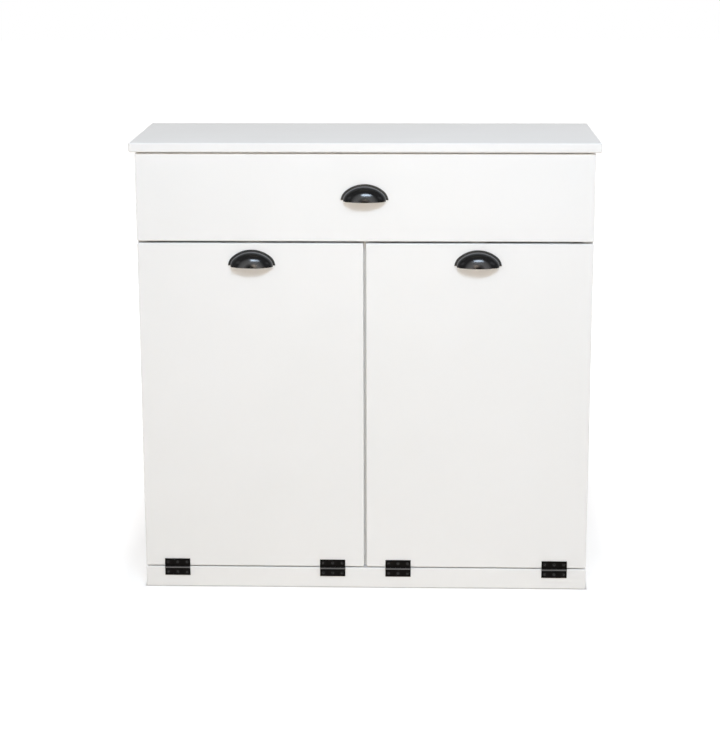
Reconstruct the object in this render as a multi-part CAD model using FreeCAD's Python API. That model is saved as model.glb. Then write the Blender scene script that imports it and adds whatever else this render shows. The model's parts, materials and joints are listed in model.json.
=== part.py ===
"""Free-standing waste cabinet: one full-width drawer over two doors that tilt out on butt hinges along
their bottom edges. Each door carries a plywood cradle with a waste bin in it.

Millimetres, +X to the right, +Y to the back, +Z up. The origin is on the floor under the middle of the
whole cabinet, pulls included.
"""
import FreeCAD, Part
import math
import os

Vector = FreeCAD.Vector
X = Vector(1, 0, 0)
Y = Vector(0, 1, 0)
Z = Vector(0, 0, 1)
ORIGIN = Vector(0, 0, 0)

# Overall size
INCH = 25.4
WIDTH = 35.75 * INCH
DEPTH = 12.875 * INCH
HEIGHT = 35.5 * INCH

# Stock
BOARD = 0.75 * INCH
FRONT_SHEET = 18.0
PLY = 0.5 * INCH
BACKING = 0.25 * INCH
DADO = 0.25 * INCH
RABBET = 0.375 * INCH
EASE = 2.0
TOP_ROUND = 3.2

# Layout of the front
SIDE_OVERHANG = 7 / 16 * INCH
FRONT_OVERHANG = 0.25 * INCH
RAIL_HEIGHT = 41.6
HINGE_GAP = 2.4
DOOR_HEIGHT = 661.2
FRONT_GAP = 4.0
TOP_GAP = 2.2
DOOR_SPLIT = 3 / 16 * INCH
DECK_Z = 712.0
TOP_RAIL_WIDTH = 70.0
PAD_RADIUS = 4.75
PAD_THICKNESS = 1.0

# Cup pulls: an arched flange, a domed shell whose lip hangs below it, and two threaded posts
PULL_WIDTH = 92.4
PULL_RISE = 33.3
PULL_CROWN_RADIUS = 57.5
PULL_REACH = 22.0
PULL_LIP = 2.6
PULL_FLANGE = 4.8
PULL_FLANGE_THICKNESS = 2.2
PULL_COVE = 1.6
PULL_WALL = 2.0
PULL_CENTRES = 64.0
PULL_POST_RADIUS = 3.6
PULL_POST_RISE = 8.0
PULL_POST_REACH = 8.0
PULL_SCREW_RADIUS = 2.0
DRAWER_PULL_Z = 788.1
DOOR_PULL_Z = 659.4
DOOR_PULL_X = -220.0

# Butt hinges
HINGE_WIDTH = 2.0 * INCH
HINGE_INSET = 1.5 * INCH
HINGE_DROP = 0.5
LEAF_REACH = 17.4
LEAF_THICKNESS = 1.6
KNUCKLES = 5
KNUCKLE_RADIUS = 2.5
KNUCKLE_GAP = 0.3
PIN_RADIUS = 1.4
PIN_CLEARANCE = 0.05
HINGE_SCREW_PITCH = 19.0
HINGE_SCREW_RISE = 10.4
HINGE_SCREW_LENGTH = 15.0

# Wood screws
SCREW_RADIUS = 1.7
SCREW_HEAD_RADIUS = 3.2
SCREW_HEAD_HEIGHT = 1.5
SCREW_TIP = 3.0
PAN_HEAD_RADIUS = 4.0
PAN_HEAD_HEIGHT = 2.4
RECESS_LENGTH = 3.4
RECESS_WIDTH = 0.8
RECESS_DEPTH = 0.9
HOLE_CLEARANCE = 0.06

# Tilt-out cradle: quadrant cheeks with a lug that meets a stop block
TILT = 30.0
CHEEK_RADIUS = 285.0
LUG_ANGLE = 20.0
STOP_GAP_ANGLE = 0.15
STOP_LENGTH = 34.0
STOP_THICKNESS = 14.0
STOP_CLEARANCE = 3.0
CRADLE_GAP = 4.0
CRADLE_Z = 50.0
CRADLE_BACK = 290.0
CRADLE_JOINT = 4.0
BACK_SLAT_HEIGHT = 70.0
CHEEK_ROUND = 8.0
BRACE_LEG = 25.0
BRACE_WIDTH = 16.0
BRACE_THICKNESS = 2.0
BRACE_RISES = (70.0, 225.0)
BRACE_HOLE = 15.0

# Waste bins
BIN_HEIGHT = 500.0
BIN_MOUTH = (360.0, 248.0)
BIN_BASE = (300.0, 200.0)
BIN_CORNERS = (34.0, 48.0)
BIN_WALL = 2.5
BIN_FLOOR = 3.0
BIN_FOOT = 4.0
BIN_RIM_WIDTH = 7.0
BIN_RIM_DROP = 16.0
BIN_SET_BACK = 156.0

# Drawer box on telescopic slides
SLIDE_THICKNESS = 0.5 * INCH
SLIDE_LENGTH = 10.0 * INCH
SLIDE_STEEL = 1.2
SLIDE_Z = 794.0
SLIDE_SET_BACK = 2.0
BOX_CLEARANCE = 9.0
BOX_HEIGHT = 108.0
BOX_LENGTH = 10.0 * INCH
BOX_GROOVE_RISE = 9.5
BALLS_PER_ROW = 4
BALL_PITCH = 26.0
CAGE_STEEL = 0.6
CAGE_LENGTH = 104.0

# Magnetic catches
CATCH_LENGTH = 46.0
CATCH_BLOCK = 28.0
CATCH_DEPTH = 14.0
CATCH_HEIGHT = 20.0
CATCH_EAR = 2.5
CATCH_SCREW_CENTRES = 37.0
POLE_SHARES = (0.55, 0.85)
POLE_THICKNESS = 1.5
POLE_LENGTH = 24.0
POLE_PROUD = 0.5
STRIKE_LENGTH = 38.0
STRIKE_HEIGHT = 13.0
STRIKE_THICKNESS = 1.2
STRIKE_SCREW_CENTRES = 30.0

# Planes that follow from those
BODY_HALF = WIDTH / 2 - SIDE_OVERHANG
INNER_HALF = BODY_HALF - BOARD
BODY_TOP = HEIGHT - BOARD
BACK_Y = (DEPTH + PULL_REACH - FRONT_OVERHANG) / 2
FACE_Y = BACK_Y - DEPTH + FRONT_OVERHANG
CARCASS_Y = FACE_Y + BOARD
BACKING_Y = BACK_Y - BACKING
SHEET_Y = FACE_Y + FRONT_SHEET
DOOR_Z = RAIL_HEIGHT + HINGE_GAP
DOOR_TOP = DOOR_Z + DOOR_HEIGHT
DRAWER_Z = DOOR_TOP + FRONT_GAP
DRAWER_TOP = BODY_TOP - TOP_GAP
AXIS_Y = FACE_Y - KNUCKLE_RADIUS
AXIS_Z = RAIL_HEIGHT - HINGE_DROP
BAY_X = -(INNER_HALF + BOARD / 2) / 2
HINGE_XS = (-BODY_HALF + HINGE_INSET + HINGE_WIDTH / 2, -DOOR_SPLIT / 2 - HINGE_INSET - HINGE_WIDTH / 2)
BOX_HALF = INNER_HALF - SLIDE_THICKNESS
BOX_Z = DECK_Z + BOARD + BOX_CLEARANCE
BOX_BACK_Y = SHEET_Y + BOX_LENGTH


def span(centre, size):
    """Low and high ends of a length about its middle."""
    return centre - size / 2, centre + size / 2


def box(x, y, z):
    """Block between the low and high ends given for each axis."""
    return Part.makeBox(x[1] - x[0], y[1] - y[0], z[1] - z[0], Vector(x[0], y[0], z[0]))


def rod(radius, start, direction, length):
    """Round bar from a point."""
    return Part.makeCylinder(radius, length, start, direction)


def prism(edges, travel):
    """Solid swept by the face that closed edges bound."""
    return Part.Face(Part.Wire(edges)).extrude(travel)


def chain(points):
    """Closed run of straight edges."""
    return Part.makePolygon(points + points[:1]).Edges


def turned(outline):
    """Solid of revolution about Z from (radius, height) points that start and end on the axis."""
    points = [Vector(radius, 0, height) for radius, height in outline]
    return Part.Face(Part.Wire(chain(points))).revolve(ORIGIN, Z, 360)


def placed(shape, point, direction):
    """Copy with its origin at the point and its Z along the direction."""
    copy = shape.copy()
    copy.Placement = FreeCAD.Placement(point, FreeCAD.Rotation(Z, direction))
    return copy


def mirrored(shape):
    """The same piece on the other side of the cabinet."""
    return shape.mirror(ORIGIN, X)


def both_sides(shapes):
    """Pieces of the left half and their mirror images."""
    return shapes + [mirrored(shape) for shape in shapes]


def pair(shape):
    """A piece and its mirror image as one group."""
    return Part.makeCompound([shape, mirrored(shape)])


def eased(shape, radius, wanted):
    """Round over the edges whose middle passes the test."""
    edges = [edge for edge in shape.Edges if wanted(edge.BoundBox.Center)]
    return shape.makeFillet(radius, edges)


def edges_along(shape, direction):
    """Straight edges that run with the direction."""
    return [edge for edge in shape.Edges if abs(edge.tangentAt(edge.FirstParameter).dot(direction)) > 0.99]


def cross_recess():
    """Cross-shaped driver recess, cut down from the head's top."""
    depth = (0, RECESS_DEPTH)
    bar = box(span(0, RECESS_LENGTH), span(0, RECESS_WIDTH), depth)
    return bar.fuse(box(span(0, RECESS_WIDTH), span(0, RECESS_LENGTH), depth))


def flat_screw(length):
    """Countersunk wood screw, head at the origin and point along +Z."""
    body = turned([
        (0, 0),
        (SCREW_HEAD_RADIUS, 0),
        (SCREW_RADIUS, SCREW_HEAD_HEIGHT),
        (SCREW_RADIUS, length - SCREW_TIP),
        (0, length),
    ])
    return body.cut(cross_recess())


def flat_screw_hole(length):
    """Countersunk hole that the wood screw seats in."""
    return turned([
        (0, 0),
        (SCREW_HEAD_RADIUS + HOLE_CLEARANCE, 0),
        (SCREW_RADIUS + HOLE_CLEARANCE, SCREW_HEAD_HEIGHT),
        (SCREW_RADIUS + HOLE_CLEARANCE, length - SCREW_TIP),
        (0, length + HOLE_CLEARANCE),
    ])


def screws(points, direction):
    """Short countersunk screws with their heads at the points."""
    return [placed(flat_screw(PLY), point, direction) for point in points]


def screw_holes(points, direction):
    """Countersunk holes for the short screws."""
    return [placed(flat_screw_hole(PLY), point, direction) for point in points]


def pan_screw(radius, length):
    """Pan-head screw whose head stands behind the origin and whose shank runs along +Z."""
    body = turned([(0, 0), (PAN_HEAD_RADIUS, 0), (PAN_HEAD_RADIUS, PAN_HEAD_HEIGHT), (0, PAN_HEAD_HEIGHT)])
    round_edges = [edge for edge in body.Edges if edge.Length > PAN_HEAD_RADIUS * 6]
    outer_rim = [edge for edge in round_edges if abs(edge.BoundBox.Center.z) < 0.01]
    head = body.makeFillet(PAN_HEAD_HEIGHT * 0.6, outer_rim).cut(cross_recess())
    head.translate(Z * -PAN_HEAD_HEIGHT)
    return head.fuse(rod(radius, ORIGIN, Z, length))


def shank_hole(radius, start, direction, length):
    """Clearance hole along a screw's shank."""
    return rod(radius + HOLE_CLEARANCE, start, direction, length)


def carcass():
    """Panels of the case, housed in each other's dados and rabbets."""
    housed_x = (-INNER_HALF - DADO, INNER_HALF + DADO)
    shelf_y = (CARCASS_Y, BACKING_Y)
    bottom_z = (RAIL_HEIGHT - BOARD, RAIL_HEIGHT)
    bottom = box(housed_x, shelf_y, bottom_z)
    deck = box(housed_x, shelf_y, (DECK_Z, DECK_Z + BOARD))
    back = box((-BODY_HALF + RABBET, BODY_HALF - RABBET), (BACKING_Y, BACK_Y), (bottom_z[0], BODY_TOP))
    divider = box(span(0, BOARD), shelf_y, (RAIL_HEIGHT - DADO, DECK_Z + DADO))
    side = box((-BODY_HALF, -INNER_HALF), (CARCASS_Y, BACK_Y), (0, BODY_TOP))
    side = side.cut([bottom, deck, back] + screw_holes(case_screw_points(), -X))
    rail = box((-BODY_HALF, BODY_HALF), (FACE_Y, CARCASS_Y), (0, RAIL_HEIGHT))
    rail = eased(rail, EASE, lambda middle: middle.y < CARCASS_Y - 1)
    top = box(span(0, WIDTH), (BACK_Y - DEPTH, BACK_Y), (BODY_TOP, HEIGHT))
    top = eased(top, TOP_ROUND, lambda middle: middle.y < BACK_Y - 1)
    rail_z = (BODY_TOP - BOARD, BODY_TOP)
    front_rail = box((-INNER_HALF, INNER_HALF), (CARCASS_Y, CARCASS_Y + TOP_RAIL_WIDTH), rail_z)
    rear_rail = box((-INNER_HALF, INNER_HALF), (BACKING_Y - TOP_RAIL_WIDTH, BACKING_Y), rail_z)
    top_screws, top_holes = top_fixings()
    return {
        "top_panel": top.cut(top_holes),
        "left_side_panel": side,
        "right_side_panel": mirrored(side),
        "centre_divider": divider,
        "bottom_panel": bottom.cut(divider),
        "drawer_deck": deck.cut([divider] + both_sides(screw_holes(catch_screw_points(), Z))),
        "back_panel": back,
        "front_top_rail": front_rail.cut(top_holes),
        "rear_top_rail": rear_rail.cut(top_holes),
        "front_bottom_rail": rail.cut(hinge_screw_holes(-1)),
        "top_fixing_screws": Part.makeCompound(top_screws),
        "bumper_pads": bumper_pads(),
    }


def top_fixings():
    """Screws up through the two top rails into the top panel, and their holes."""
    length = BOARD + 0.6 * BOARD
    screws = []
    holes = []
    for x in (-0.8, -0.27, 0.27, 0.8):
        for y in (CARCASS_Y + TOP_RAIL_WIDTH / 2, BACKING_Y - TOP_RAIL_WIDTH / 2):
            foot = Vector(x * INNER_HALF, y, BODY_TOP - BOARD)
            screws.append(placed(pan_screw(PULL_SCREW_RADIUS, length), foot, Z))
            holes.append(shank_hole(PULL_SCREW_RADIUS, foot, Z, length + HOLE_CLEARANCE))
    return screws, holes


def bumper_pads():
    """Thin soft discs on the front edges of the sides, where the doors and drawer front close."""
    heights = (DOOR_Z + 30, DOOR_TOP - 14, DRAWER_Z + 22, DRAWER_TOP - 22)
    edge_x = -BODY_HALF + BOARD / 2
    pads = [rod(PAD_RADIUS, Vector(edge_x, CARCASS_Y, z), -Y, PAD_THICKNESS) for z in heights]
    return pair(Part.makeCompound(pads))


def slide_channel(web, tip, half_height):
    """One rolled-steel slide member: a channel whose web is `web` from the case side and whose flanges
    end `tip` from it."""
    steel = math.copysign(SLIDE_STEEL, tip - web)
    inner = half_height - SLIDE_STEEL
    outline = [
        (web, -half_height), (tip, -half_height), (tip, -inner), (web + steel, -inner),
        (web + steel, inner), (tip, inner), (tip, half_height), (web, half_height),
    ]
    front = CARCASS_Y + SLIDE_SET_BACK
    points = [Vector(-INNER_HALF + across, front, SLIDE_Z + up) for across, up in outline]
    channel = prism(chain(points), Y * SLIDE_LENGTH)
    bends = [
        edge for edge in edges_along(channel, Y)
        if abs(edge.BoundBox.Center.x + INNER_HALF - web) < 0.01
    ]
    return channel.makeFillet(SLIDE_STEEL * 0.8, bends)


def ball_cage(web, reach, rise, ball_radius, start):
    """Folded retainer strip with a row of balls along its top and its bottom edge."""
    outer = rise + CAGE_STEEL / 2
    inner = rise - CAGE_STEEL / 2
    outline = [
        (web, -outer), (reach, -outer), (reach, -inner), (web + CAGE_STEEL, -inner),
        (web + CAGE_STEEL, inner), (reach, inner), (reach, outer), (web, outer),
    ]
    points = [Vector(-INNER_HALF + across, start, SLIDE_Z + up) for across, up in outline]
    cage = prism(chain(points), Y * CAGE_LENGTH)
    ball_x = -INNER_HALF + (web + reach) / 2
    first = start + (CAGE_LENGTH - BALL_PITCH * (BALLS_PER_ROW - 1)) / 2
    for count in range(BALLS_PER_ROW):
        for side in (-rise, rise):
            seat = Vector(ball_x, first + BALL_PITCH * count, SLIDE_Z + side)
            cage = cage.fuse(Part.makeSphere(ball_radius, seat))
    return cage


def case_screw_points():
    """Where screws hold the left case member of a slide, on the face of its web."""
    front = CARCASS_Y + SLIDE_SET_BACK
    return [Vector(-INNER_HALF + SLIDE_STEEL, front + run, SLIDE_Z) for run in (30.0, 128.0, 226.0)]


def drawer_screw_points():
    """Where screws hold the left drawer member of a slide, on the face of its web."""
    front = CARCASS_Y + SLIDE_SET_BACK
    return [Vector(-BOX_HALF - SLIDE_STEEL, front + run, SLIDE_Z) for run in (20.0, 118.0, 216.0)]


def slides():
    """Telescopic slides: a case, a middle and a drawer member on each side, with their ball cages."""
    front = CARCASS_Y + SLIDE_SET_BACK
    case_member = slide_channel(0, 10.0, 22.7).cut(screw_holes(case_screw_points(), -X))
    middle_member = slide_channel(2.4, 10.5, 17.8)
    drawer_member = slide_channel(SLIDE_THICKNESS, 5.2, 13.3).cut(screw_holes(drawer_screw_points(), X))
    rear_cage = ball_cage(1.5, 8.5, 19.65, 1.55, front + SLIDE_LENGTH - CAGE_LENGTH - 10)
    front_cage = ball_cage(4.1, 9.5, 14.95, 1.35, front + 10)
    return {
        "slide_case_members": pair(case_member),
        "slide_middle_members": pair(middle_member),
        "slide_ball_cages": pair(Part.makeCompound([rear_cage, front_cage])),
        "slide_drawer_members": pair(drawer_member),
        "slide_case_screws": pair(Part.makeCompound(screws(case_screw_points(), -X))),
        "slide_drawer_screws": pair(Part.makeCompound(screws(drawer_screw_points(), X))),
    }


def front_sheet(x, z):
    """Door or drawer front with every edge eased."""
    return eased(box(x, (FACE_Y, SHEET_Y), z), EASE, lambda middle: True)


def drawer():
    """Drawer front on a grooved and rabbeted plywood box."""
    inside = BOX_HALF - PLY
    z = (BOX_Z, BOX_Z + BOX_HEIGHT)
    box_front = box((-inside - DADO, inside + DADO), (SHEET_Y, SHEET_Y + PLY), z)
    box_back = box((-inside - DADO, inside + DADO), (BOX_BACK_Y - PLY, BOX_BACK_Y), z)
    groove_z = (BOX_Z + BOX_GROOVE_RISE, BOX_Z + BOX_GROOVE_RISE + BACKING)
    groove_y = (SHEET_Y + PLY - DADO, BOX_BACK_Y - PLY + DADO)
    bottom = box((-inside - DADO, inside + DADO), groove_y, groove_z)
    side = box((-BOX_HALF, -inside), (SHEET_Y, BOX_BACK_Y), z)
    side = side.cut([box_front, box_back, bottom] + screw_holes(drawer_screw_points(), X))
    front = front_sheet((-BODY_HALF, BODY_HALF), (DRAWER_Z, DRAWER_TOP))
    pull_screws, pull_holes = pull_fixings(0, DRAWER_PULL_Z, SHEET_Y + PLY)
    front_screws, front_holes = drawer_front_fixings()
    return {
        "drawer_front": front.cut(pull_holes + front_holes),
        "drawer_box_front": box_front.cut([bottom] + pull_holes + front_holes),
        "drawer_box_back": box_back.cut(bottom),
        "drawer_left_side": side,
        "drawer_right_side": mirrored(side),
        "drawer_bottom": bottom,
        "drawer_cup_pull": cup_pull(0, DRAWER_PULL_Z),
        "drawer_pull_screws": pull_screws,
        "drawer_front_screws": front_screws,
    }


def drawer_front_fixings():
    """Screws from inside the box into the back of the drawer front, and their holes."""
    length = PLY + 0.7 * FRONT_SHEET
    heads = [Vector(x, SHEET_Y + PLY, SLIDE_Z) for x in (-340.0, -170.0, 170.0, 340.0)]
    screws = [placed(pan_screw(PULL_SCREW_RADIUS, length), head, -Y) for head in heads]
    holes = [shank_hole(PULL_SCREW_RADIUS, head, -Y, length + HOLE_CLEARANCE) for head in heads]
    return Part.makeCompound(screws), holes


def arch(inset):
    """Edges of the pull's outline in the XZ plane, moved in by the inset: three-centred arch and chord."""
    half = PULL_WIDTH / 2
    crown = PULL_CROWN_RADIUS
    drop = crown - PULL_RISE
    haunch = (crown ** 2 - half ** 2 - drop ** 2) / (crown - half) / 2
    turn = math.atan2(drop, half - haunch)

    def on_haunch(angle):
        reach = haunch - inset
        return Vector(half - haunch + reach * math.cos(angle), 0, reach * math.sin(angle))

    def flipped(point):
        return Vector(-point.x, 0, point.z)

    end, middle, join = [on_haunch(turn * share) for share in (0, 0.5, 1)]
    top = Vector(0, 0, PULL_RISE - inset)
    return [
        Part.Arc(end, middle, join).toShape(),
        Part.Arc(join, top, flipped(join)).toShape(),
        Part.Arc(flipped(join), flipped(middle), flipped(end)).toShape(),
        Part.LineSegment(flipped(end), end).toShape(),
    ]


def dome(inset, reach):
    """Quarter turn of the inset arch about its chord, flattened from the arch's rise to the reach."""
    solid = Part.Face(Part.Wire(arch(inset))).revolve(ORIGIN, X, 90)
    flatten = FreeCAD.Matrix()
    flatten.scale(1, reach / (PULL_RISE - inset), 1)
    return solid.transformGeometry(flatten)


def cup_pull(x, z):
    """Cast cup pull, open below and behind, with the middle of its lip's line at (x, z) on the front."""
    flange = prism(arch(0), -Y * PULL_FLANGE_THICKNESS)
    flange = flange.cut(box(span(0, PULL_WIDTH), (-PULL_FLANGE_THICKNESS, 0), (0, PULL_LIP)))
    pull = flange.fuse(dome(PULL_FLANGE, PULL_REACH)).removeSplitter()
    cove = [edge for edge in pull.Edges if is_cove(edge)]
    pull = pull.makeFillet(PULL_COVE, cove)
    pull = pull.cut(dome(PULL_FLANGE + PULL_WALL, PULL_REACH - PULL_WALL))
    feet = [Vector(side * PULL_CENTRES / 2, 0, PULL_POST_RISE) for side in (-1, 1)]
    pull = pull.fuse([rod(PULL_POST_RADIUS, foot, -Y, PULL_POST_REACH) for foot in feet])
    pull = pull.cut([shank_hole(PULL_SCREW_RADIUS, foot, -Y, PULL_POST_REACH - PULL_WALL) for foot in feet])
    pull = pull.removeSplitter()
    pull.translate(Vector(x, FACE_Y, z))
    return pull


def is_cove(edge):
    """Whether an edge lies where the dome rises from the face of the flange."""
    bounds = edge.BoundBox
    flat = abs(bounds.YMin + PULL_FLANGE_THICKNESS) < 0.01 and abs(bounds.YMax + PULL_FLANGE_THICKNESS) < 0.01
    inner = max(abs(bounds.XMin), abs(bounds.XMax)) < PULL_WIDTH / 2 - PULL_FLANGE / 2
    return flat and inner and bounds.ZMax < PULL_RISE - PULL_FLANGE / 2 and bounds.ZMax > PULL_LIP + 0.1


def pull_fixings(x, z, head_y):
    """The two machine screws of a pull, their heads on the plane head_y, and their holes."""
    length = head_y - FACE_Y + PULL_POST_REACH - PULL_WALL - 1
    heads = [Vector(x + side * PULL_CENTRES / 2, head_y, z + PULL_POST_RISE) for side in (-1, 1)]
    screws = [placed(pan_screw(PULL_SCREW_RADIUS, length), head, -Y) for head in heads]
    holes = [shank_hole(PULL_SCREW_RADIUS, head, -Y, head_y - FACE_Y) for head in heads]
    return Part.makeCompound(screws), holes


def hinge_screw_heads(side):
    """Screw head points on the left door's leaves, above (side 1) or below (side -1) the hinge line."""
    heads = []
    for centre in HINGE_XS:
        for step in (-1, 0, 1):
            heads.append(Vector(
                centre + step * HINGE_SCREW_PITCH,
                FACE_Y - LEAF_THICKNESS,
                AXIS_Z + side * HINGE_SCREW_RISE,
            ))
    return heads


def hinge_screw_holes(side):
    """Countersunk holes for the screws of both doors' leaves on one side of the hinge line."""
    holes = [placed(flat_screw_hole(HINGE_SCREW_LENGTH), head, Y) for head in hinge_screw_heads(side)]
    return holes + [mirrored(hole) for hole in holes]


def hinge_screws(side):
    """Screws of the left door's leaves on one side of the hinge line."""
    screws = [placed(flat_screw(HINGE_SCREW_LENGTH), head, Y) for head in hinge_screw_heads(side)]
    return Part.makeCompound(screws)


def hinge_leaf(centre, side):
    """One leaf: a plate above or below the hinge line that carries every other knuckle."""
    axis_start = Vector(centre - HINGE_WIDTH / 2, AXIS_Y, AXIS_Z)
    reach = sorted((AXIS_Z, AXIS_Z + side * LEAF_REACH))
    plate_y = (FACE_Y - LEAF_THICKNESS, FACE_Y)
    plate = box(span(centre, HINGE_WIDTH), plate_y, reach)
    leaf = plate.cut(rod(KNUCKLE_RADIUS + KNUCKLE_GAP, axis_start, X, HINGE_WIDTH))
    pitch = HINGE_WIDTH / KNUCKLES
    for number in range(0 if side < 0 else 1, KNUCKLES, 2):
        start = axis_start.x + number * pitch + KNUCKLE_GAP / 2
        length = pitch - KNUCKLE_GAP
        barrel = rod(KNUCKLE_RADIUS, Vector(start, AXIS_Y, AXIS_Z), X, length)
        neck_z = sorted((AXIS_Z, AXIS_Z + side * (KNUCKLE_RADIUS + 2 * KNUCKLE_GAP)))
        leaf = leaf.fuse([barrel, box((start, start + length), plate_y, neck_z)])
    leaf = leaf.cut(rod(PIN_RADIUS + PIN_CLEARANCE, axis_start, X, HINGE_WIDTH))
    return leaf.removeSplitter().cut(hinge_screw_holes(side))


def hinge_leaves(side):
    """Both leaves of the left door on one side of the hinge line."""
    return Part.makeCompound([hinge_leaf(centre, side) for centre in HINGE_XS])


def hinge_pins():
    """Pins through the knuckles of the left door's hinges."""
    starts = [Vector(centre - HINGE_WIDTH / 2, AXIS_Y, AXIS_Z) for centre in HINGE_XS]
    return Part.makeCompound([rod(PIN_RADIUS, start, X, HINGE_WIDTH) for start in starts])


def cheek(x):
    """Quadrant side of the cradle: an arc about the hinge line, ending in a lug at the back."""
    front = SHEET_Y - AXIS_Y
    rear = FACE_Y + CRADLE_BACK - AXIS_Y
    foot = CRADLE_Z - AXIS_Z
    angle = math.radians(LUG_ANGLE)
    front_angle = math.acos(front / CHEEK_RADIUS)
    middle_angle = (angle + front_angle) / 2
    lug_radius = rear / math.cos(angle)

    def at(across, up):
        return Vector(x, AXIS_Y + across, AXIS_Z + up)

    def around(radius, turn):
        return at(radius * math.cos(turn), radius * math.sin(turn))

    toe = at(front, foot)
    crown = around(CHEEK_RADIUS, front_angle)
    notch = around(CHEEK_RADIUS, angle)
    lug = around(lug_radius, angle)
    heel = at(rear, foot)
    arc = Part.Arc(crown, around(CHEEK_RADIUS, middle_angle), notch).toShape()
    straight = ((toe, crown), (notch, lug), (lug, heel), (heel, toe))
    lines = [Part.LineSegment(*ends).toShape() for ends in straight]
    plate = prism([lines[0], arc] + lines[1:], X * PLY)
    rounded = [
        edge for edge in edges_along(plate, X)
        if min((edge.BoundBox.Center - corner - X * (PLY / 2)).Length for corner in (lug, heel)) < 0.1
    ]
    return plate.makeFillet(CHEEK_ROUND, rounded)


def stop_block(x):
    """Hardwood block that the lug meets at full tilt, standing inward from a panel face at x."""
    lug_radius = (FACE_Y + CRADLE_BACK - AXIS_Y) / math.cos(math.radians(LUG_ANGLE))
    block = box(
        (x, x + STOP_THICKNESS),
        (AXIS_Y + CHEEK_RADIUS + STOP_CLEARANCE, AXIS_Y + lug_radius + STOP_CLEARANCE),
        (AXIS_Z, AXIS_Z + STOP_LENGTH),
    )
    block = block.makeFillet(EASE, edges_along(block, Z))
    block.rotate(Vector(0, AXIS_Y, AXIS_Z), X, LUG_ANGLE + TILT + STOP_GAP_ANGLE)
    return block


def stop_blocks():
    """The stop blocks of the left bay, on the case side and on the divider."""
    return Part.makeCompound([stop_block(-INNER_HALF), stop_block(-BOARD / 2 - STOP_THICKNESS)])


def brace_places():
    """Face of the cheek, way into the bay and foot height of each brace of the left cradle."""
    places = []
    for face, inward in ((-INNER_HALF + CRADLE_GAP + PLY, 1), (-BOARD / 2 - CRADLE_GAP - PLY, -1)):
        for rise in BRACE_RISES:
            places.append((face, inward, CRADLE_Z + rise))
    return places


def cradle_fixings():
    """Screw head points of the left door's braces and strike plate, each list with its screws' direction."""
    into_door = strike_screw_points()
    into_cheeks = {1: [], -1: []}
    for face, inward, foot in brace_places():
        z = foot + BRACE_WIDTH / 2
        into_door.append(Vector(face + inward * BRACE_HOLE, SHEET_Y + BRACE_THICKNESS, z))
        into_cheeks[inward].append(Vector(face + inward * BRACE_THICKNESS, SHEET_Y + BRACE_HOLE, z))
    return ((into_door, -Y), (into_cheeks[1], -X), (into_cheeks[-1], X))


def cradle_screw_holes():
    """Holes of the left door's braces and strike plate."""
    return [hole for points, direction in cradle_fixings() for hole in screw_holes(points, direction)]


def cradle_screws():
    """Screws of the left door's braces and strike plate."""
    pieces = [screw for points, direction in cradle_fixings() for screw in screws(points, direction)]
    return Part.makeCompound(pieces)


def cradle_braces():
    """Folded steel corner braces that tie the cheeks to the back of the door."""
    outline = [
        (0, 0), (BRACE_LEG, 0), (BRACE_LEG, BRACE_THICKNESS),
        (BRACE_THICKNESS, BRACE_THICKNESS), (BRACE_THICKNESS, BRACE_LEG), (0, BRACE_LEG),
    ]
    braces = []
    for face, inward, foot in brace_places():
        points = [Vector(face + inward * across, SHEET_Y + back, foot) for across, back in outline]
        brace = prism(chain(points), Z * BRACE_WIDTH)
        corner = points[0] + Z * (BRACE_WIDTH / 2)
        bend = [
            edge for edge in edges_along(brace, Z)
            if (edge.BoundBox.Center - corner).Length < 2 * BRACE_THICKNESS
        ]
        braces.append(brace.makeFillet(BRACE_THICKNESS * 0.6, bend).cut(cradle_screw_holes()))
    return Part.makeCompound(braces)


def cradle():
    """Left cradle: shelf and back slat housed between two quadrant cheeks."""
    outer_x = -INNER_HALF + CRADLE_GAP
    inner_x = -BOARD / 2 - CRADLE_GAP - PLY
    across = (outer_x + PLY - CRADLE_JOINT, inner_x + CRADLE_JOINT)
    slat_y = (FACE_Y + CRADLE_BACK - 2 * PLY, FACE_Y + CRADLE_BACK - PLY)
    shelf_top = CRADLE_Z + PLY
    shelf = box(across, (SHEET_Y, slat_y[1]), (CRADLE_Z, shelf_top))
    slat = box(across, slat_y, (shelf_top, shelf_top + BACK_SLAT_HEIGHT))
    housings = [shelf, slat] + cradle_screw_holes()
    return {
        "cradle_outer_cheek": cheek(outer_x).cut(housings),
        "cradle_inner_cheek": cheek(inner_x).cut(housings),
        "cradle_shelf": shelf,
        "cradle_back_slat": slat,
        "cradle_braces": cradle_braces(),
        "cradle_screws": cradle_screws(),
    }


def rounded_rectangle(width, depth, radius, z):
    """Closed outline about the Z axis: four sides joined by quarter arcs."""
    half_x = width / 2 - radius
    half_y = depth / 2 - radius
    edges = []
    corners = ((half_x, half_y), (-half_x, half_y), (-half_x, -half_y), (half_x, -half_y))
    for quarter, (centre_x, centre_y) in enumerate(corners):
        centre = Vector(centre_x, centre_y, z)
        turns = [math.radians(90 * quarter + part) for part in (0, 45, 90)]
        points = [centre + Vector(math.cos(turn), math.sin(turn), 0) * radius for turn in turns]
        edges.append(Part.Arc(*points).toShape())
    sides = []
    for number, edge in enumerate(edges):
        start = edge.valueAt(edge.LastParameter)
        following = edges[(number + 1) % len(edges)]
        sides.append(Part.LineSegment(start, following.valueAt(following.FirstParameter)).toShape())
    return Part.Wire([edge for couple in zip(edges, sides) for edge in couple])


def bin_section(part, inset):
    """Outline of the bin at a share of its height, moved in by an inset."""
    def mix(low, high):
        return low + (high - low) * part

    width = mix(BIN_BASE[0], BIN_MOUTH[0]) - 2 * inset
    depth = mix(BIN_BASE[1], BIN_MOUTH[1]) - 2 * inset
    return rounded_rectangle(width, depth, mix(*BIN_CORNERS) - inset, part * BIN_HEIGHT)


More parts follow.
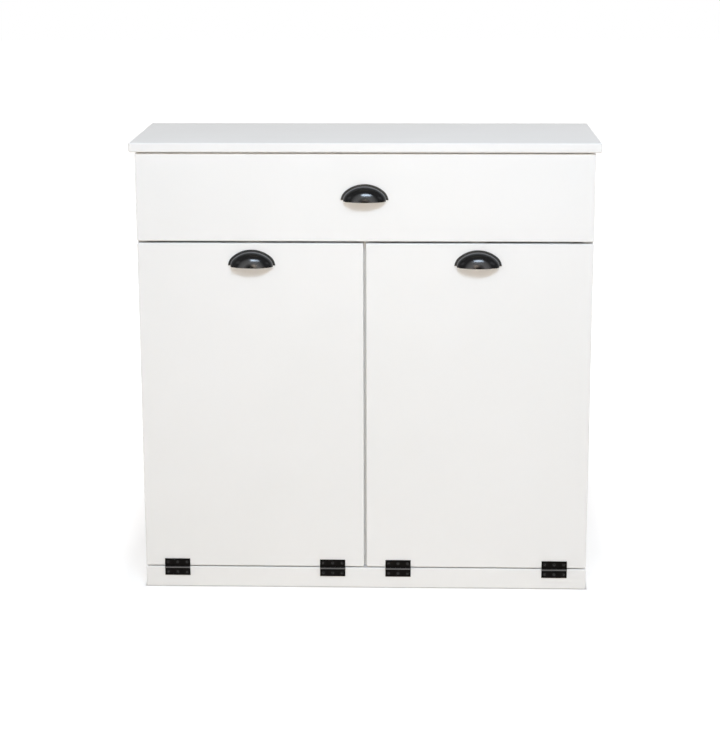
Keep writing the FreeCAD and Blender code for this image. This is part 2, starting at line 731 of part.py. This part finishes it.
def waste_bin():
    """Tapered moulded bin with a recessed foot and a turned-down rim."""
    shell = Part.makeLoft([bin_section(0, 0), bin_section(1, 0)], True, True)
    hollow_from = (BIN_FOOT + BIN_FLOOR) / BIN_HEIGHT
    hollow = Part.makeLoft([bin_section(hollow_from, BIN_WALL), bin_section(1, BIN_WALL)], True, True)
    foot = Part.Face(bin_section(0, 2 * BIN_WALL)).extrude(Z * BIN_FOOT)
    rim_size = [side + 2 * BIN_RIM_WIDTH for side in BIN_MOUTH]
    rim_corner = BIN_CORNERS[1] + BIN_RIM_WIDTH
    under = BIN_HEIGHT - BIN_RIM_DROP
    rim = Part.Face(rounded_rectangle(*rim_size, rim_corner, under)).extrude(Z * BIN_RIM_DROP)
    rim = eased(rim, BIN_WALL, lambda middle: middle.z > BIN_HEIGHT - 0.1)
    channel_size = [side - 2 * BIN_WALL for side in rim_size]
    channel = Part.Face(rounded_rectangle(*channel_size, rim_corner - BIN_WALL, under))
    rim = rim.cut(channel.extrude(Z * (BIN_RIM_DROP - BIN_WALL)))
    body = rim.fuse(shell).cut([hollow, foot]).removeSplitter()
    body.translate(Vector(BAY_X, FACE_Y + BIN_SET_BACK, CRADLE_Z + PLY))
    return body


def magnetic_catch():
    """Catch under the deck of the left bay: eared housing and its two steel poles."""
    front = SHEET_Y + STRIKE_THICKNESS + 0.3
    y = (front + POLE_PROUD, front + POLE_PROUD + CATCH_DEPTH)
    block = box(span(BAY_X, CATCH_BLOCK), y, (DECK_Z - CATCH_HEIGHT, DECK_Z))
    block = block.makeFillet(EASE, edges_along(block, Z))
    ears = box(span(BAY_X, CATCH_LENGTH), y, (DECK_Z - CATCH_EAR, DECK_Z))
    ears = ears.makeFillet(CATCH_DEPTH * 0.3, edges_along(ears, Z))
    poles = []
    for share in POLE_SHARES:
        z = span(DECK_Z - CATCH_HEIGHT * share, POLE_THICKNESS)
        poles.append(box(span(BAY_X, POLE_LENGTH), (front, y[0] + CATCH_DEPTH / 2), z))
    housing = block.fuse(ears).removeSplitter().cut(poles + screw_holes(catch_screw_points(), Z))
    return housing, Part.makeCompound(poles)


def catch_screw_points():
    """Where screws hold the ears of the left bay's catch to the deck."""
    y = SHEET_Y + STRIKE_THICKNESS + 0.3 + POLE_PROUD + CATCH_DEPTH / 2
    return [Vector(x, y, DECK_Z - CATCH_EAR) for x in span(BAY_X, CATCH_SCREW_CENTRES)]


def strike_plate():
    """Steel plate on the back of the left door that the catch holds."""
    z = (DOOR_TOP - 2 - STRIKE_HEIGHT, DOOR_TOP - 2)
    plate = box(span(BAY_X, STRIKE_LENGTH), (SHEET_Y, SHEET_Y + STRIKE_THICKNESS), z)
    plate = plate.makeFillet(STRIKE_HEIGHT * 0.3, edges_along(plate, Y))
    return plate.cut(screw_holes(strike_screw_points(), -Y))


def strike_screw_points():
    """Where screws hold the strike plate to the left door."""
    z = DOOR_TOP - 2 - STRIKE_HEIGHT / 2
    return [Vector(x, SHEET_Y + STRIKE_THICKNESS, z) for x in span(BAY_X, STRIKE_SCREW_CENTRES)]


def door():
    """Left door with its pull, hinge leaves, cradle, bin and strike plate."""
    panel = front_sheet((-BODY_HALF, -DOOR_SPLIT / 2), (DOOR_Z, DOOR_TOP))
    pull_screws, pull_holes = pull_fixings(DOOR_PULL_X, DOOR_PULL_Z, SHEET_Y)
    pieces = {
        "door_panel": panel.cut(pull_holes + hinge_screw_holes(1) + cradle_screw_holes()),
        "door_cup_pull": cup_pull(DOOR_PULL_X, DOOR_PULL_Z),
        "door_pull_screws": pull_screws,
        "door_hinge_leaves": hinge_leaves(1),
        "door_hinge_screws": hinge_screws(1),
        "strike_plate": strike_plate(),
        "waste_bin": waste_bin(),
    }
    pieces.update(cradle())
    return pieces


def fixed_fittings():
    """What the case carries for both doors."""
    housing, poles = magnetic_catch()
    return {
        "rail_hinge_leaves": pair(hinge_leaves(-1)),
        "rail_hinge_screws": pair(hinge_screws(-1)),
        "hinge_pins": pair(hinge_pins()),
        "tilt_stop_blocks": pair(stop_blocks()),
        "catch_housings": pair(housing),
        "catch_poles": pair(poles),
        "catch_screws": pair(Part.makeCompound(screws(catch_screw_points(), Z))),
    }


def cabinet():
    """Every node by name."""
    nodes = {}
    for group in (carcass(), slides(), drawer(), fixed_fittings()):
        nodes.update(group)
    for name, shape in door().items():
        nodes["left_" + name] = shape
        nodes["right_" + name] = mirrored(shape)
    return nodes


os.makedirs("parts", exist_ok=True)
for node_name, node_shape in cabinet().items():
    node_shape.exportStep("parts/" + node_name + ".step")
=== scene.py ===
"""Looks of the tilt-out waste cabinet: painted boards, cast black pulls and hinges, birch ply, zinc and
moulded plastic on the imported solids, with a plain studio round them. Metres, in the frame of the solids."""
import json
import math

import bpy
from mathutils import Matrix, Vector


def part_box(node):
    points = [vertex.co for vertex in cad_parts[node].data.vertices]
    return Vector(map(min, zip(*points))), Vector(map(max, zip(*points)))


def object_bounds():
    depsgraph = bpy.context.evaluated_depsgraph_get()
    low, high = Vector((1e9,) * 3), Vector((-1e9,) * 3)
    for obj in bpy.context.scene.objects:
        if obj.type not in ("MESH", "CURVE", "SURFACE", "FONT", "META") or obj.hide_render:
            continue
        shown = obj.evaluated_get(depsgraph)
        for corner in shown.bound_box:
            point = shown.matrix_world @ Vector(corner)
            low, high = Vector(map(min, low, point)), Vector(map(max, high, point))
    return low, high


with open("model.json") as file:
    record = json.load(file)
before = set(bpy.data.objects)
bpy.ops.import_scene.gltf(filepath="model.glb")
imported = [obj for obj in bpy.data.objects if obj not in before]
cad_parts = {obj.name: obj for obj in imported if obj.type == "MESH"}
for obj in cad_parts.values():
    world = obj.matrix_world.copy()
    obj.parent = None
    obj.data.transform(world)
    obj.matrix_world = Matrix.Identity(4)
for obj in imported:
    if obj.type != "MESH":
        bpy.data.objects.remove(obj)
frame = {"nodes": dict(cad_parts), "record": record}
solid_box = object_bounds()
nodes = frame["nodes"]
slot_of = {part["node"]: part["material_slot"] for part in frame["record"]["subparts"]}
front_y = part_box("drawer_front")[0].y

# Camera: where it stands, how it is turned in radians, and its lens in pixels of the 720 x 739 frame
EYE = Vector((0.1046, -3.7096, 1.3513))
EYE_YAW = -0.0320
EYE_PITCH = 0.2231
EYE_ROLL = -0.0029
LENS_PIXELS = 1866.5
FRAME_LONG_SIDE = 739
SENSOR = 36.0
LENS_SHIFT = -0.06

# Lamps, each as (azimuth and elevation in degrees, distance, width, height, power in watts, colour): a long
# cool key above the front, a narrow warm fill from the front, small boxes to both sides of it and above, and
# two behind
LAMPS = {
    "key": (8, 45, 3.5, 1.8, 0.65, 58.8, (0.82, 0.98, 1.17)),
    "fill": (0, 4, 3.4, 0.8, 1.3, 22.0, (1.0, 0.85, 0.70)),
    "front_left": (-60, 26, 3.6, 0.9, 0.9, 6.0, (0.95, 0.97, 1.0)),
    "front_right": (60, 26, 3.6, 0.9, 0.9, 6.0, (0.95, 0.97, 1.0)),
    "above": (0, 89, 2.4, 1.2, 1.2, 4.5, (1.0, 0.79, 0.58)),
    "back_left": (-140, 9, 3.6, 1.6, 1.6, 38.0, (0.88, 0.96, 1.08)),
    "back_right": (140, 9, 3.6, 1.6, 1.6, 38.0, (0.88, 0.96, 1.08)),
}
WHITE = (1, 1, 1, 1)
ROOM_COLOUR = (1.0, 0.90, 0.79)
ROOM_STRENGTH = 0.24

# Black finish by how far it stands out of the front, as (depth, value) stops no deeper than REACH. Painted
# highlight: grey added on the rim and at the root of each pull's dome and on the crown of each hinge knuckle.
# Painted sheen: gloss raised on the shoulder of the dome and on the knuckles, and cut at the lip to darken it
REACH = 0.022
# painted highlight: grey on each pull's rim and along the crease at the root of its dome
PULL_PAINTED_HIGHLIGHT = (
    (0.0010, 0.03), (0.0022, 0.02), (0.0026, 0.22), (0.0045, 0.10), (0.0075, 0.02), (0.0100, 0.0),
)
# painted sheen: gloss raised in the band where the lamp's highlight should fall, and cut at the lip to darken
# it
PULL_PAINTED_SHEEN = (
    (0.0020, 0.08), (0.0040, 0.12), (0.0164, 0.14), (0.0188, 0.80),
    (0.0206, 1.00), (0.0210, 0.60), (0.0215, 0.30), (0.0219, 0.03),
)
# painted highlight: grey along the crown of each hinge knuckle
HINGE_PAINTED_HIGHLIGHT = ((0.0020, 0.0), (0.0043, 0.01), (0.0050, 0.14))
# painted sheen: gloss raised on the crown of each hinge knuckle
HINGE_PAINTED_SHEEN = ((0.0020, 0.04), (0.0043, 0.04), (0.0050, 0.20))

# Birch ply: layers in a sheet, and in one thinner than THIN_SHEET
PLIES = 9
THIN_SHEET_PLIES = 5
THIN_SHEET = 0.010

# Floor: a warm bounce for the cabinet, seen as white with the cabinet's soft shadow. Round its foot the glow
# is held back in a thin band, a painted shade that deepens the real shadow where the two meet. It turns to
# plain white from FLOOR_NEAR to FLOOR_FAR away, and FLOOR_SIDEWAYS times nearer beside the cabinet.
FLOOR_SIZE = 30.0
FLOOR_WARM = (0.92, 0.855, 0.77)
FLOOR_SEEN = (0.65, 0.635, 0.62)
FLOOR_GLOW = 0.52
PAINTED_SHADE_BAND = 0.006
FLOOR_NEAR = 0.4
FLOOR_FAR = 2.0
FLOOR_SIDEWAYS = 8.0
FAR_GLOW = 0.50

# Places of a Mix node's sockets in its colour form, among those of its other forms
MIX_FACTOR = 0
MIX_FIRST = 6
MIX_SECOND = 7
MIX_RESULT = 2


def feed(tree, socket, value):
    """Link an input to an output socket, or set it to a plain value."""
    if isinstance(value, bpy.types.NodeSocket):
        tree.links.new(value, socket)
    else:
        socket.default_value = value


def add_node(tree, kind, **values):
    """New shader node, with the values fed to the inputs of those labels, underscores standing for spaces."""
    node = tree.nodes.new(kind)
    for label, value in values.items():
        feed(tree, node.inputs[label.replace("_", " ")], value)
    return node


def combine(tree, kind, *values, operation=None):
    """Result of a new shader node, with the values fed to its inputs in order."""
    node = tree.nodes.new(kind)
    if operation:
        node.operation = operation
    for socket, value in zip(node.inputs, values):
        feed(tree, socket, value)
    return node.outputs[0]


def mix_colours(tree, factor, first, second, blend="MIX"):
    """Second colour blended onto the first."""
    node = tree.nodes.new("ShaderNodeMix")
    node.data_type = "RGBA"
    node.blend_type = blend
    for position, value in ((MIX_FACTOR, factor), (MIX_FIRST, first), (MIX_SECOND, second)):
        feed(tree, node.inputs[position], value)
    return node.outputs[MIX_RESULT]


def split(tree, vector):
    """X, Y and Z of a vector, by name or by number."""
    return add_node(tree, "ShaderNodeSeparateXYZ", Vector=vector).outputs


def place(tree, stretch=(1, 1, 1)):
    """Object coordinates in metres, stretched along the axes."""
    where = tree.nodes.new("ShaderNodeTexCoord")
    mapping = add_node(tree, "ShaderNodeMapping", Vector=where.outputs["Object"], Scale=stretch)
    return mapping.outputs["Vector"]


def noise(tree, vector, scale, detail=3.0, roughness=0.5):
    """Fractal noise, `scale` waves to the metre."""
    node = add_node(
        tree, "ShaderNodeTexNoise", Vector=vector, Scale=scale, Detail=detail, Roughness=roughness)
    return node.outputs["Fac"]


def ramp(tree, factor, *stops):
    """Colour ramp through (position, colour) stops."""
    node = add_node(tree, "ShaderNodeValToRGB", Fac=factor)
    band = node.color_ramp
    while len(band.elements) < len(stops):
        band.elements.new(0.5)
    for element, (position, colour) in zip(band.elements, stops):
        element.position = position
        element.color = (*colour, 1)
    return node.outputs["Color"]


def spread(tree, factor, low=0.0, high=1.0, start=0.0, end=1.0, clamp=True):
    """Map a factor that runs from `start` to `end` onto the range from `low` to `high`."""
    node = add_node(
        tree, "ShaderNodeMapRange", Value=factor, From_Min=start, From_Max=end, To_Min=low, To_Max=high)
    node.clamp = clamp
    return node.outputs["Result"]


def empty_tree(owner):
    """Node tree of a material or world, with nothing in it."""
    owner.use_nodes = True
    owner.node_tree.nodes.clear()
    return owner.node_tree


def new_material(name, **values):
    """Material with one principled shader, and the values fed to it."""
    material = bpy.data.materials.new(name)
    tree = empty_tree(material)
    shader = add_node(tree, "ShaderNodeBsdfPrincipled", **values)
    add_node(tree, "ShaderNodeOutputMaterial", Surface=shader.outputs["BSDF"])
    return material, tree, shader


def surface(tree, shader, colour, roughness):
    """Give a shader its colour and roughness."""
    feed(tree, shader.inputs["Base Color"], colour)
    feed(tree, shader.inputs["Roughness"], roughness)


def bump(tree, shader, height, distance, strength):
    """Relief of a height field, `distance` metres deep, stacked on any relief before it."""
    node = add_node(tree, "ShaderNodeBump", Height=height, Distance=distance, Strength=strength)
    before = shader.inputs["Normal"].links
    if before:
        tree.links.new(before[0].from_socket, node.inputs["Normal"])
    tree.links.new(node.outputs["Normal"], shader.inputs["Normal"])


def white_paint():
    """Sprayed and rolled satin enamel: faint stipple, faint clouding, a slight wave in the board."""
    material, tree, shader = new_material("white_paint", Specular_IOR_Level=0.32)
    here = place(tree)
    cloud = noise(tree, here, scale=3.0, detail=2.0)
    colour = ramp(tree, cloud, (0.3, (0.862, 0.862, 0.850)), (0.7, (0.882, 0.881, 0.872)))
    surface(tree, shader, colour, spread(tree, noise(tree, here, scale=14.0), low=0.30, high=0.42))
    bump(tree, shader, noise(tree, here, scale=700.0, detail=2.0), distance=0.00004, strength=0.5)
    bump(tree, shader, noise(tree, here, scale=22.0, detail=1.0), distance=0.0003, strength=0.25)
    return material


def by_depth(tree, vector, stops):
    """Ramp through (depth, value) stops by how far a point stands out of the front."""
    depth = spread(tree, split(tree, vector)["Y"], start=front_y, end=front_y - REACH)
    return ramp(tree, depth, *((stop / REACH, (value,) * 3) for stop, value in stops))


def cast_black(name, colour, gloss, roughness, grain_scale, painted_highlight=(), painted_sheen=()):
    """Black-finished metal: near-black with lighter mottling and a fine skin. By depth, one set of stops adds
    grey as a painted highlight, and the other takes the place of the even gloss as a painted sheen."""
    material, tree, shader = new_material(name, Specular_IOR_Level=gloss)
    here = place(tree)
    mottle = noise(tree, here, scale=160.0, detail=4.0)
    darker = tuple(0.6 * part for part in colour)
    tint = ramp(tree, mottle, (0.35, darker), (0.7, colour))
    # painted highlight: grey added by depth
    if painted_highlight:
        tint = mix_colours(tree, factor=1.0, first=tint, second=by_depth(tree, here, painted_highlight), blend="ADD")
    # painted sheen: gloss set by depth to place the lamp's highlight
    if painted_sheen:
        feed(tree, shader.inputs["Specular IOR Level"], by_depth(tree, here, painted_sheen))
    surface(tree, shader, tint, spread(tree, mottle, low=roughness * 0.85, high=roughness * 1.15))
    bump(tree, shader, noise(tree, here, scale=grain_scale, detail=2.0), distance=0.00002, strength=0.6)
    return material


def zinc():
    """Bright zinc plate with a soft spangle and fine rolling marks along the piece."""
    material, tree, shader = new_material("zinc_steel", Metallic=1.0)
    spangle = noise(tree, place(tree), scale=120.0, detail=2.0)
    rolled = noise(tree, place(tree, stretch=(60, 1, 60)), scale=40.0, detail=2.0)
    colour = ramp(tree, spangle, (0.3, (0.54, 0.55, 0.57)), (0.7, (0.70, 0.71, 0.72)))
    surface(tree, shader, colour, spread(tree, rolled, low=0.24, high=0.40))
    bump(tree, shader, rolled, distance=0.00002, strength=0.4)
    return material


def plywood(name, thin, long, plies, thickness, origin):
    """Birch ply: rotary-cut veneer on the faces, its grain along `long`, and stripes of `plies` layers across
    `thin` on the edges."""
    material, tree, shader = new_material(name, Specular_IOR_Level=0.35)
    stretch = [9.0, 9.0, 9.0]
    stretch[long] = 0.6
    grain = noise(tree, place(tree, stretch), scale=7.0, detail=5.0, roughness=0.6)
    face = ramp(
        tree, grain,
        (0.30, (0.64, 0.45, 0.26)), (0.52, (0.76, 0.59, 0.38)), (0.75, (0.82, 0.67, 0.47)),
    )
    where = tree.nodes.new("ShaderNodeTexCoord").outputs
    two_plies = 2 * thickness / plies
    across = split(tree, where["Object"])[thin]
    pairs = spread(tree, across, start=origin, end=origin + two_plies, clamp=False)
    edge = ramp(
        tree, combine(tree, "ShaderNodeMath", pairs, operation="FRACT"),
        (0.0, (0.36, 0.23, 0.12)), (0.05, (0.80, 0.64, 0.43)), (0.5, (0.74, 0.57, 0.36)),
        (0.55, (0.36, 0.23, 0.12)), (0.62, (0.52, 0.35, 0.19)), (1.0, (0.48, 0.32, 0.17)),
    )
    flat = combine(tree, "ShaderNodeMath", split(tree, where["Normal"])[thin], operation="ABSOLUTE")
    is_face = spread(tree, flat, start=0.6, end=0.8)
    colour = mix_colours(tree, factor=is_face, first=edge, second=face)
    surface(tree, shader, colour, spread(tree, grain, low=0.42, high=0.58))
    bump(tree, shader, grain, distance=0.0002, strength=0.3)
    return material


def beech():
    """Planed beech with short dark flecks."""
    material, tree, shader = new_material("beech", Specular_IOR_Level=0.35)
    grain = noise(tree, place(tree, stretch=(8, 8, 1)), scale=30.0, detail=5.0)
    fleck = noise(tree, place(tree, stretch=(30, 30, 4)), scale=40.0, detail=1.0)
    colour = ramp(tree, grain, (0.3, (0.50, 0.32, 0.18)), (0.7, (0.68, 0.48, 0.30)))
    surface(tree, shader, colour, spread(tree, fleck, low=0.45, high=0.62))
    bump(tree, shader, fleck, distance=0.0001, strength=0.4)
    return material


def moulded(name, dark, light, grain_scale, roughness):
    """Moulded plastic with a spark-eroded grain."""
    material, tree, shader = new_material(name, Specular_IOR_Level=0.45)
    here = place(tree)
    flow = noise(tree, here, scale=6.0, detail=2.0)
    grain = noise(tree, here, scale=grain_scale, detail=2.0)
    colour = ramp(tree, flow, (0.3, dark), (0.7, light))
    surface(tree, shader, colour, spread(tree, grain, low=roughness - 0.05, high=roughness + 0.08))
    bump(tree, shader, grain, distance=0.00006, strength=0.6)
    return material


def sheet_of_ply(name):
    """Birch ply for one board, with its grain along the board and its layers across."""
    low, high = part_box(name)
    size = high - low
    thin = min(range(3), key=lambda axis: size[axis])
    long = max(range(3), key=lambda axis: size[axis])
    plies = THIN_SHEET_PLIES if size[thin] < THIN_SHEET else PLIES
    return plywood(name + "_ply", thin, long, plies, size[thin], low[thin])


def dress():
    """Give every solid the finish of its slot, but each ply board and the hinge screws one of their own."""
    finishes = {
        "white_paint": white_paint(),
        "black_pull": cast_black(
            "black_pull", (0.005, 0.005, 0.0055), gloss=0.2, roughness=0.19, grain_scale=500.0,
            painted_highlight=PULL_PAINTED_HIGHLIGHT, painted_sheen=PULL_PAINTED_SHEEN),
        "black_hinge": cast_black(
            "black_hinge", (0.0065, 0.0054, 0.0046), gloss=0.1, roughness=0.32, grain_scale=1500.0,
            painted_highlight=HINGE_PAINTED_HIGHLIGHT, painted_sheen=HINGE_PAINTED_SHEEN),
        "black_screw": cast_black(
            "black_screw", (0.017, 0.016, 0.015), gloss=0.25, roughness=0.28, grain_scale=1500.0),
        "zinc_steel": zinc(),
        "beech": beech(),
        "bin_plastic": moulded(
            "bin_plastic", (0.075, 0.078, 0.082), (0.09, 0.093, 0.097), grain_scale=1400.0, roughness=0.45),
        "catch_plastic": moulded(
            "catch_plastic", (0.72, 0.72, 0.70), (0.78, 0.78, 0.76), grain_scale=2000.0, roughness=0.40),
        "soft_pad": moulded(
            "soft_pad", (0.58, 0.58, 0.56), (0.64, 0.64, 0.62), grain_scale=900.0, roughness=0.35),
    }
    for name, node in nodes.items():
        slot = "black_screw" if name.endswith("hinge_screws") else slot_of[name]
        material = sheet_of_ply(name) if slot == "birch_ply" else finishes[slot]
        node.data.materials.clear()
        node.data.materials.append(material)


def add_object(name, data):
    """New object in the scene."""
    thing = bpy.data.objects.new(name, data)
    bpy.context.scene.collection.objects.link(thing)
    return thing


def aim(eye, yaw, pitch, roll):
    """Camera matrix: yaw to the right of +Y, pitch downwards, then roll."""
    forward = Vector((math.sin(yaw) * math.cos(pitch), math.cos(yaw) * math.cos(pitch), -math.sin(pitch)))
    level = Vector((math.cos(yaw), -math.sin(yaw), 0))
    upright = level.cross(forward)
    right = level * math.cos(roll) + upright * math.sin(roll)
    up = upright * math.cos(roll) - level * math.sin(roll)
    turn = Matrix((right, up, -forward)).transposed().to_4x4()
    return Matrix.Translation(eye) @ turn


def set_camera():
    """Camera at the photograph's place."""
    data = bpy.data.cameras.new("camera")
    data.sensor_width = SENSOR
    data.lens = LENS_PIXELS / FRAME_LONG_SIDE * SENSOR
    data.shift_y = LENS_SHIFT
    camera = add_object("camera", data)
    camera.matrix_world = aim(EYE, EYE_YAW, EYE_PITCH, EYE_ROLL)
    bpy.context.scene.camera = camera


def set_lamps():
    """Soft boxes round the cabinet, turned to its middle."""
    low, high = solid_box
    for name, (azimuth, elevation, distance, width, height, power, colour) in LAMPS.items():
        data = bpy.data.lights.new(name, "AREA")
        data.shape = "RECTANGLE"
        data.size = width
        data.size_y = height
        data.energy = power
        data.color = colour
        turn = math.radians(azimuth)
        rise = math.radians(elevation)
        away = Vector((math.sin(turn) * math.cos(rise), -math.cos(turn) * math.cos(rise), math.sin(rise)))
        lamp = add_object(name, data)
        lamp.location = (low + high) / 2 + away * distance
        lamp.rotation_mode = "QUATERNION"
        lamp.rotation_quaternion = away.to_track_quat("Z", "Y")


def seen(tree):
    """1 for what the camera, mirrors and glass see, and 0 for the light on matt surfaces."""
    path = tree.nodes.new("ShaderNodeLightPath").outputs
    either = path["Is Camera Ray"]
    for kind in ("Is Glossy Ray", "Is Transmission Ray"):
        either = combine(tree, "ShaderNodeMath", either, path[kind], operation="MAXIMUM")
    return either


def set_room():
    """Warm even room light that shows as plain white."""
    world = bpy.data.worlds.new("room")
    tree = empty_tree(world)
    warm = add_node(tree, "ShaderNodeBackground", Color=(*ROOM_COLOUR, 1), Strength=ROOM_STRENGTH)
    white = add_node(tree, "ShaderNodeBackground", Color=WHITE, Strength=1.0)
    shown = combine(
        tree, "ShaderNodeMixShader", seen(tree), warm.outputs["Background"], white.outputs["Background"])
    add_node(tree, "ShaderNodeOutputWorld", Surface=shown)
    bpy.context.scene.world = world


def outside(tree, low, high, sideways=1.0):
    """How far a point of the floor is outside an upright box, in metres, counted `sideways` times along X."""
    middle = (low + high) / 2
    half = (high - low) / 2
    offset = combine(tree, "ShaderNodeVectorMath", place(tree), middle, operation="SUBTRACT")
    away = combine(tree, "ShaderNodeVectorMath", offset, operation="ABSOLUTE")
    beyond = combine(tree, "ShaderNodeVectorMath", away, half, operation="SUBTRACT")
    weighed = combine(tree, "ShaderNodeVectorMath", beyond, (sideways, 1, 1), operation="MULTIPLY")
    axes = split(tree, weighed)
    return combine(tree, "ShaderNodeMath", axes["X"], axes["Y"], operation="MAXIMUM")


def floor_glow(tree):
    """Strength of the floor's glow: none under the cabinet, rising over a thin band of painted shade at its
    foot to about half just beyond it, the rest far off.
    """
    low, rail_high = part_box("front_bottom_rail")
    high = Vector((rail_high.x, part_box("left_side_panel")[1].y, 0))
    # painted shade: the glow is held back in a thin band round the cabinet's foot
    near = spread(tree, outside(tree, low, high), high=FLOOR_GLOW, end=PAINTED_SHADE_BAND)
    apart = outside(tree, low, high, FLOOR_SIDEWAYS)
    far = spread(tree, apart, high=FAR_GLOW, start=FLOOR_NEAR, end=FLOOR_FAR)
    return combine(tree, "ShaderNodeMath", near, far, operation="ADD")


def set_floor():
    """Pale floor: seen as white with the cabinet's shadow on it, and a warm bounce for everything else."""
    half = FLOOR_SIZE / 2
    mesh = bpy.data.meshes.new("floor")
    corners = [(-half, -half, 0), (half, -half, 0), (half, half, 0), (-half, half, 0)]
    mesh.from_pydata(corners, [], [(0, 1, 2, 3)])
    floor = add_object("floor", mesh)
    material = bpy.data.materials.new("floor")
    tree = empty_tree(material)
    warm = add_node(tree, "ShaderNodeBsdfDiffuse", Color=(*FLOOR_WARM, 1))
    pale = add_node(tree, "ShaderNodeBsdfDiffuse", Color=(*FLOOR_SEEN, 1))
    glow = add_node(tree, "ShaderNodeEmission", Color=WHITE, Strength=floor_glow(tree))
    lit = combine(tree, "ShaderNodeAddShader", pale.outputs["BSDF"], glow.outputs["Emission"])
    shown = combine(tree, "ShaderNodeMixShader", seen(tree), warm.outputs["BSDF"], lit)
    add_node(tree, "ShaderNodeOutputMaterial", Surface=shown)
    mesh.materials.append(material)


dress()
set_camera()
set_lamps()
set_room()
set_floor()
bpy.context.scene.view_settings.view_transform = "Standard"
